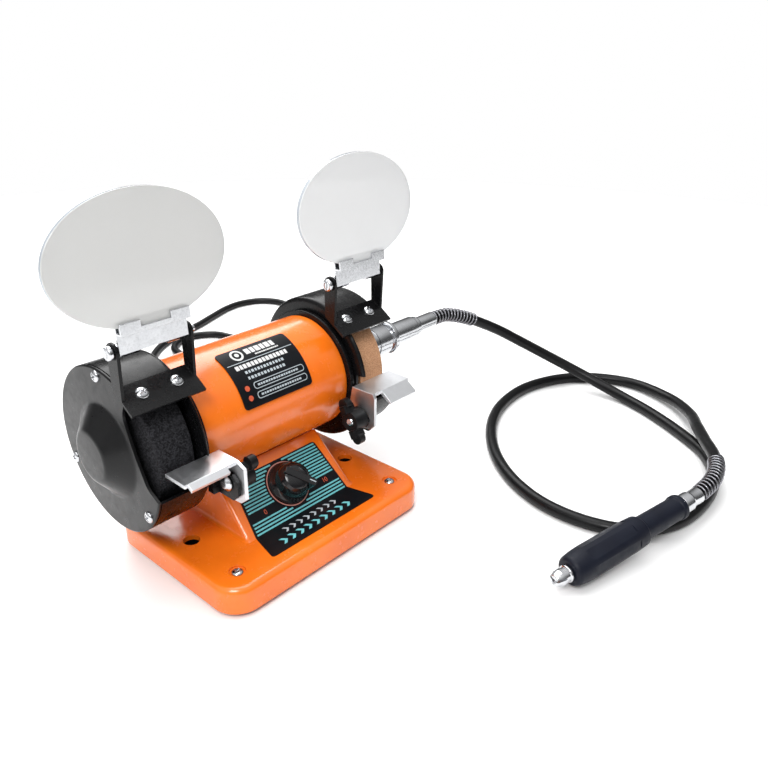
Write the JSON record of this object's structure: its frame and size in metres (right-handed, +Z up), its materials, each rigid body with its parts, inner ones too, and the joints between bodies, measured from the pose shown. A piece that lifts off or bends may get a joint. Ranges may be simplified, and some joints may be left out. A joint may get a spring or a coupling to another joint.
{
  "type": "mini bench grinder",
  "caption": "Small bench grinder: a motor on a sloped control base drives two guarded wheels with tool rests and eye shields, and a flexible shaft with a handpiece.",
  "frame": {"origin": "On the bench, under the middle of the grinder's own box without its cords: midway between the shields' outer edges and between the base's front and the guards' backs", "axes": "+X runs along the motor shaft from the left wheel to the right wheel, +Y points away from the operator, and +Z is up"},
  "size_m": [0.4388, 0.5183, 0.207],
  "materials": {
    "orange_paint": "gloss enamel",
    "black_paint": "gloss black enamel",
    "black_plastic": "satin moulded",
    "label": "printed foil",
    "chrome": "bright plated",
    "steel": "machined",
    "copper": "bare copper",
    "rubber": "matt moulded",
    "cord_sheath": "smooth extruded",
    "grip": "soft satin grip",
    "grey_wheel": "coarse bonded grit",
    "tan_wheel": "fine bonded grit",
    "board": "coated circuit board",
    "clear_shield": "clear acrylic"
  },
  "bodies": {
    "stand": {"base_casting": "orange_paint", "bottom_plate": "steel", "foot_front_left": "rubber", "foot_front_right": "rubber", "foot_back_left": "rubber", "foot_back_right": "rubber", "panel_label": "label", "speed_control": "steel", "control_board": "board", "motor_housing": "orange_paint", "nameplate": "label", "stator": "steel", "end_bell_left": "black_paint", "end_bell_right": "black_paint", "bearing_left": "steel", "bearing_right": "steel", "field_coil_left": "copper", "field_coil_right": "copper", "guard_shell_left": "black_paint", "guard_shell_right": "black_paint", "guard_cover_left": "black_paint", "guard_cover_right": "black_paint", "shield_fork_left": "black_paint", "shield_fork_right": "black_paint", "shield_pin_left": "chrome", "shield_pin_right": "chrome", "rest_arm_left": "black_paint", "rest_arm_right": "black_paint", "rest_bolt_left": "chrome", "rest_bolt_right": "chrome", "cord_gland": "rubber", "mains_cord": "cord_sheath", "mains_coil": "cord_sheath", "mains_plug": "black_plastic", "flex_adaptor": "chrome", "flex_sheath": "cord_sheath", "flex_ferrule": "chrome", "handpiece": "grip"},
    "rotor": {"shaft": "steel", "armature": "steel", "commutator": "copper", "cooling_fan": "black_plastic", "flange_inner_left": "steel", "flange_inner_right": "steel", "wheel_left": "grey_wheel", "wheel_right": "tan_wheel", "flange_outer_left": "steel", "flange_outer_right": "steel", "spindle_nut_left": "steel", "spindle_nut_right": "steel"},
    "knob": {"speed_knob": "black_plastic"},
    "shield_left": {"shield_clamp_left": "chrome", "shield_disc_left": "clear_shield"},
    "shield_right": {"shield_clamp_right": "chrome", "shield_disc_right": "clear_shield"},
    "rest_left": {"tool_rest_left": "chrome"},
    "rest_right": {"tool_rest_right": "chrome"},
    "wing_left": {"wing_knob_left": "black_plastic"},
    "wing_right": {"wing_knob_right": "black_plastic"},
    "chuck": {"handpiece_chuck": "chrome"}
  },
  "joints": [
    {"name": "rotor_spin", "type": "hinge", "parent": "stand", "child": "rotor", "pos_m": [0, 0.0165, 0.075], "axis": [1, 0, 0], "continuous": true},
    {"name": "speed_knob_turn", "type": "hinge", "parent": "stand", "child": "knob", "pos_m": [0, -0.01935, 0.03065], "axis": [0, -0.7071, 0.7071], "range_deg": [0, 270]},
    {"name": "shield_left_tilt", "type": "hinge", "parent": "stand", "child": "shield_left", "pos_m": [-0.0686, -0.0085, 0.136], "axis": [1, 0, 0], "range_deg": [-30, 60]},
    {"name": "shield_right_tilt", "type": "hinge", "parent": "stand", "child": "shield_right", "pos_m": [0.0686, -0.0085, 0.136], "axis": [1, 0, 0], "range_deg": [-30, 60]},
    {"name": "tool_rest_left_slide", "type": "slide", "parent": "stand", "child": "rest_left", "axis": [0, -1, 0], "range_m": [0, 0.007]},
    {"name": "tool_rest_right_slide", "type": "slide", "parent": "stand", "child": "rest_right", "axis": [0, -1, 0], "range_m": [-0.0045, 0.0025]},
    {"name": "wing_knob_left_turn", "type": "hinge", "parent": "stand", "child": "wing_left", "pos_m": [-0.042, -0.0335, 0.061], "axis": [1, 0, 0], "range_deg": [-180, 180]},
    {"name": "wing_knob_right_turn", "type": "hinge", "parent": "stand", "child": "wing_right", "pos_m": [0.042, -0.0335, 0.061], "axis": [1, 0, 0], "range_deg": [-180, 180]},
    {"name": "chuck_spin", "type": "hinge", "parent": "stand", "child": "chuck", "pos_m": [0.0629, -0.1665, 0.0098], "axis": [-0.9659, 0.2423, -0.0907], "continuous": true}
  ],
  "couplings": [
    {"joint": "chuck_spin", "follows": "rotor_spin", "ratio": 1}
  ]
}
